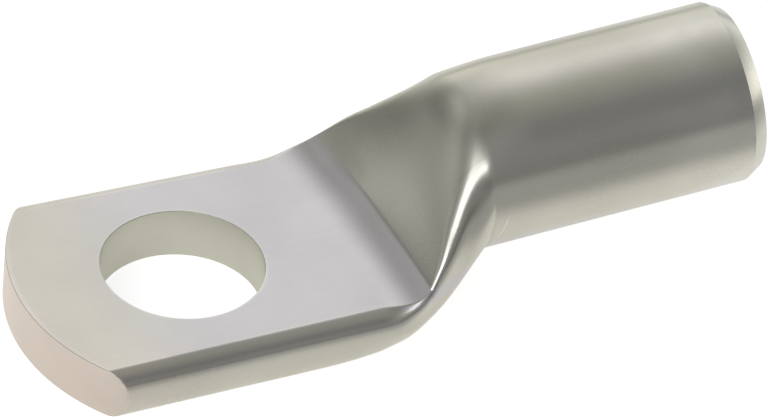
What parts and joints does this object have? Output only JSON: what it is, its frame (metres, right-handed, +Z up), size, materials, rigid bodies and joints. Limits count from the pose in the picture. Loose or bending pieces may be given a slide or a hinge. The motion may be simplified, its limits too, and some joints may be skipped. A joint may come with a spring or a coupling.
{
  "type": "tubular cable lug",
  "caption": "Pressed tubular cable lug: a round barrel for the stripped cable, a pressed neck, and a flat palm with a stud hole.",
  "frame": {"origin": "middle of the stud hole, on the underside of the palm", "axes": "+X from the stud hole along the palm towards the barrel, +Z up through the palm, out of its top"},
  "size_m": [0.0605, 0.023, 0.0178],
  "materials": {
    "tinned_copper": "satin tin plating over copper, pale warm grey"
  },
  "bodies": {
    "root": {"lug_body": "tinned_copper"}
  },
  "joints": []
}
